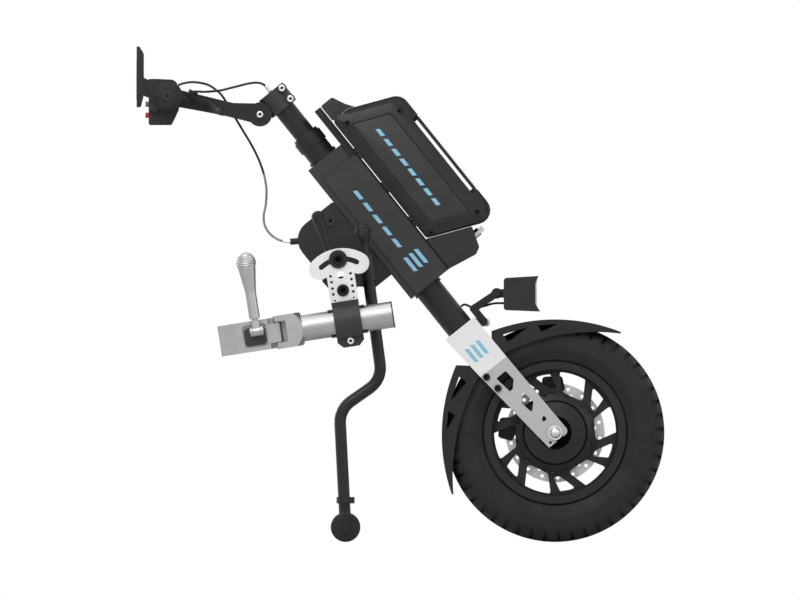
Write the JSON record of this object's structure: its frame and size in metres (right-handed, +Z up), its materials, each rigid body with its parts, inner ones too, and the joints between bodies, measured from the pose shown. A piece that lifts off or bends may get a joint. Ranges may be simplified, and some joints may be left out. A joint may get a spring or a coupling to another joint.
{
  "type": "wheelchair power assist",
  "caption": "Clip-on electric front drive for a wheelchair: motor wheel in a fork, leaning column with battery, docking arms with clamps, folding parking legs and a handlebar.",
  "frame": {"origin": "on the floor, under the middle of the overall length, on the centre plane", "axes": "+X forward, from the handlebar to the wheel, +Y to the rider's left, +Z up"},
  "size_m": [0.9802, 0.45, 0.9203],
  "materials": {
    "black_coat": "satin black powder coat",
    "grey_coat": "satin light grey metallic paint",
    "aluminium": "satin machined aluminium",
    "steel": "plain steel",
    "dark_steel": "black oxide",
    "hub_metal": "black anodised",
    "black_plastic": "fine grained moulding",
    "red_plastic": "moulded, satin",
    "grey_plastic": "moulded, satin",
    "soft_grip": "moulded rubber",
    "tyre_rubber": "matte tread",
    "cable_sheath": "smooth sheath",
    "lens": "clear moulding"
  },
  "bodies": {
    "frame": {"head_housing": "black_coat", "housing_covers": "black_coat", "headset_bearings": "steel", "controller_case": "black_plastic", "cross_tube": "black_coat", "battery_dock": "black_coat", "dock_socket": "black_plastic", "control_cable": "cable_sheath"},
    "steering": {"steerer": "black_coat", "fork": "grey_coat", "fork_bolts": "dark_steel", "axle": "steel", "motor_core": "steel", "mudguard_front": "black_plastic", "mudguard_rear": "black_plastic", "lamp_bracket": "black_coat", "brake_calipers": "hub_metal", "lamp_cable": "cable_sheath"},
    "wheel": {"tyre": "tyre_rubber", "rim": "hub_metal", "motor_hub": "hub_metal", "brake_disc": "steel"},
    "lamp": {"lamp_body": "black_plastic", "lamp_lens": "lens"},
    "mast": {"mast": "black_coat", "stem_clamp": "black_coat"},
    "bar": {"stem_arm": "black_coat", "handlebar": "black_coat", "grips": "soft_grip", "display_case": "black_plastic", "switch_case": "black_plastic", "brake_perches": "hub_metal", "brake_cables": "cable_sheath"},
    "throttle": {"throttle": "black_plastic"},
    "mode_button": {"mode_button": "grey_plastic"},
    "horn_button": {"horn_button": "red_plastic"},
    "battery": {"battery_case": "black_plastic", "battery_handle": "black_plastic", "battery_latch": "grey_plastic"},
    "battery_lock": {"battery_lock": "steel"},
    "brake_lever_right": {"brake_lever_right": "hub_metal"},
    "brake_lever_left": {"brake_lever_left": "hub_metal"},
    "tilt_arm_right": {"sector_plate_right": "aluminium", "tube_clamp_right": "black_coat"},
    "lock_lever_right": {"lock_lever_right": "black_plastic"},
    "arm_slide_right": {"arm_tube_right": "aluminium", "clamp_body_right": "aluminium"},
    "clamp_jaw_right": {"clamp_jaw_right": "aluminium"},
    "clamp_lever_right": {"clamp_lever_right": "aluminium"},
    "parking_leg_right": {"parking_leg_right": "black_coat"},
    "leg_wheel_right": {"leg_wheel_right": "soft_grip"},
    "tilt_arm_left": {"sector_plate_left": "aluminium", "tube_clamp_left": "black_coat"},
    "lock_lever_left": {"lock_lever_left": "black_plastic"},
    "arm_slide_left": {"arm_tube_left": "aluminium", "clamp_body_left": "aluminium"},
    "clamp_jaw_left": {"clamp_jaw_left": "aluminium"},
    "clamp_lever_left": {"clamp_lever_left": "aluminium"},
    "parking_leg_left": {"parking_leg_left": "black_coat"},
    "leg_wheel_left": {"leg_wheel_left": "soft_grip"}
  },
  "joints": [
    {"name": "steer", "type": "hinge", "parent": "frame", "child": "steering", "pos_m": [0.27445, 0, 0.19287], "axis": [-0.6252, 0, 0.7804], "range_deg": [-45, 45], "deforming": ["control_cable"]},
    {"name": "wheel_spin", "type": "hinge", "parent": "steering", "child": "wheel", "pos_m": [0.28709, 0, 0.203], "axis": [0, 1, 0], "continuous": true},
    {"name": "lamp_tilt", "type": "hinge", "parent": "steering", "child": "lamp", "pos_m": [0.17863, 0, 0.46169], "axis": [0, -1, 0], "range_deg": [-6, 15], "deforming": ["lamp_cable"]},
    {"name": "mast_slide", "type": "slide", "parent": "steering", "child": "mast", "axis": [-0.6252, 0, 0.7804], "range_m": [-0.04, 0.1], "deforming": ["control_cable"]},
    {"name": "stem_tilt", "type": "hinge", "parent": "mast", "child": "bar", "pos_m": [-0.26102, 0, 0.79408], "axis": [0, 1, 0], "range_deg": [-15, 25], "deforming": ["control_cable", "brake_cables"]},
    {"name": "throttle_turn", "type": "hinge", "parent": "bar", "child": "throttle", "pos_m": [-0.43269, 0, 0.82807], "axis": [0, -1, 0], "range_deg": [0, 30], "stiffness_Nm_per_rad": 0.4},
    {"name": "mode_press", "type": "slide", "parent": "bar", "child": "mode_button", "axis": [1, 0, 0], "range_m": [0, 0.0015], "stiffness_N_per_m": 400},
    {"name": "horn_press", "type": "slide", "parent": "bar", "child": "horn_button", "axis": [1, 0, 0], "range_m": [0, 0.0015], "stiffness_N_per_m": 400},
    {"name": "brake_pull_right", "type": "hinge", "parent": "bar", "child": "brake_lever_right", "pos_m": [-0.38869, -0.046, 0.82807], "axis": [-0.4695, 0, -0.8829], "range_deg": [0, 14], "stiffness_Nm_per_rad": 2},
    {"name": "brake_pull_left", "type": "hinge", "parent": "bar", "child": "brake_lever_left", "pos_m": [-0.38869, 0.046, 0.82807], "axis": [0.4695, 0, 0.8829], "range_deg": [0, 14], "stiffness_Nm_per_rad": 2},
    {"name": "battery_slide", "type": "slide", "parent": "frame", "child": "battery", "axis": [-0.6252, 0, 0.7804], "range_m": [0, 0.3]},
    {"name": "key_turn", "type": "hinge", "parent": "frame", "child": "battery_lock", "pos_m": [0.14234, 0, 0.57433], "axis": [0.7804, 0, 0.6252], "range_deg": [0, 90]},
    {"name": "arm_tilt_right", "type": "hinge", "parent": "frame", "child": "tilt_arm_right", "pos_m": [-0.10679, 0, 0.46738], "axis": [0, 1, 0], "range_deg": [-28, 28]},
    {"name": "arm_lock_right", "type": "hinge", "parent": "frame", "child": "lock_lever_right", "pos_m": [-0.11583, -0.141, 0.52507], "axis": [0, -1, 0], "range_deg": [0, 70]},
    {"name": "arm_slide_right", "type": "slide", "parent": "tilt_arm_right", "child": "arm_slide_right", "axis": [0.988, 0, 0.1547], "range_m": [-0.045, 0.045]},
    {"name": "jaw_open_right", "type": "hinge", "parent": "arm_slide_right", "child": "clamp_jaw_right", "pos_m": [-0.22718, -0.178, 0.38941], "axis": [-0.1547, 0, 0.988], "range_deg": [0, 50]},
    {"name": "clamp_turn_right", "type": "hinge", "parent": "clamp_jaw_right", "child": "clamp_lever_right", "pos_m": [-0.26695, -0.197, 0.39128], "axis": [0.988, 0, 0.1547], "range_deg": [0, 90]},
    {"name": "leg_fold_right", "type": "hinge", "parent": "frame", "child": "parking_leg_right", "pos_m": [-0.10679, 0, 0.46738], "axis": [0, -1, 0], "range_deg": [0, 25]},
    {"name": "leg_wheel_spin_right", "type": "hinge", "parent": "parking_leg_right", "child": "leg_wheel_right", "pos_m": [-0.10199, -0.1293, 0.0276], "axis": [0, 1, 0], "continuous": true},
    {"name": "arm_tilt_left", "type": "hinge", "parent": "frame", "child": "tilt_arm_left", "pos_m": [-0.10679, 0, 0.46738], "axis": [0, 1, 0], "range_deg": [-28, 28]},
    {"name": "arm_lock_left", "type": "hinge", "parent": "frame", "child": "lock_lever_left", "pos_m": [-0.11583, 0.141, 0.52507], "axis": [0, -1, 0], "range_deg": [0, 70]},
    {"name": "arm_slide_left", "type": "slide", "parent": "tilt_arm_left", "child": "arm_slide_left", "axis": [0.988, 0, 0.1547], "range_m": [-0.045, 0.045]},
    {"name": "jaw_open_left", "type": "hinge", "parent": "arm_slide_left", "child": "clamp_jaw_left", "pos_m": [-0.22718, 0.178, 0.38941], "axis": [0.1547, 0, -0.988], "range_deg": [0, 50]},
    {"name": "clamp_turn_left", "type": "hinge", "parent": "clamp_jaw_left", "child": "clamp_lever_left", "pos_m": [-0.26695, 0.197, 0.39128], "axis": [-0.988, 0, -0.1547], "range_deg": [0, 90]},
    {"name": "leg_fold_left", "type": "hinge", "parent": "frame", "child": "parking_leg_left", "pos_m": [-0.10679, 0, 0.46738], "axis": [0, -1, 0], "range_deg": [0, 25]},
    {"name": "leg_wheel_spin_left", "type": "hinge", "parent": "parking_leg_left", "child": "leg_wheel_left", "pos_m": [-0.10199, 0.1293, 0.0276], "axis": [0, 1, 0], "continuous": true}
  ]
}
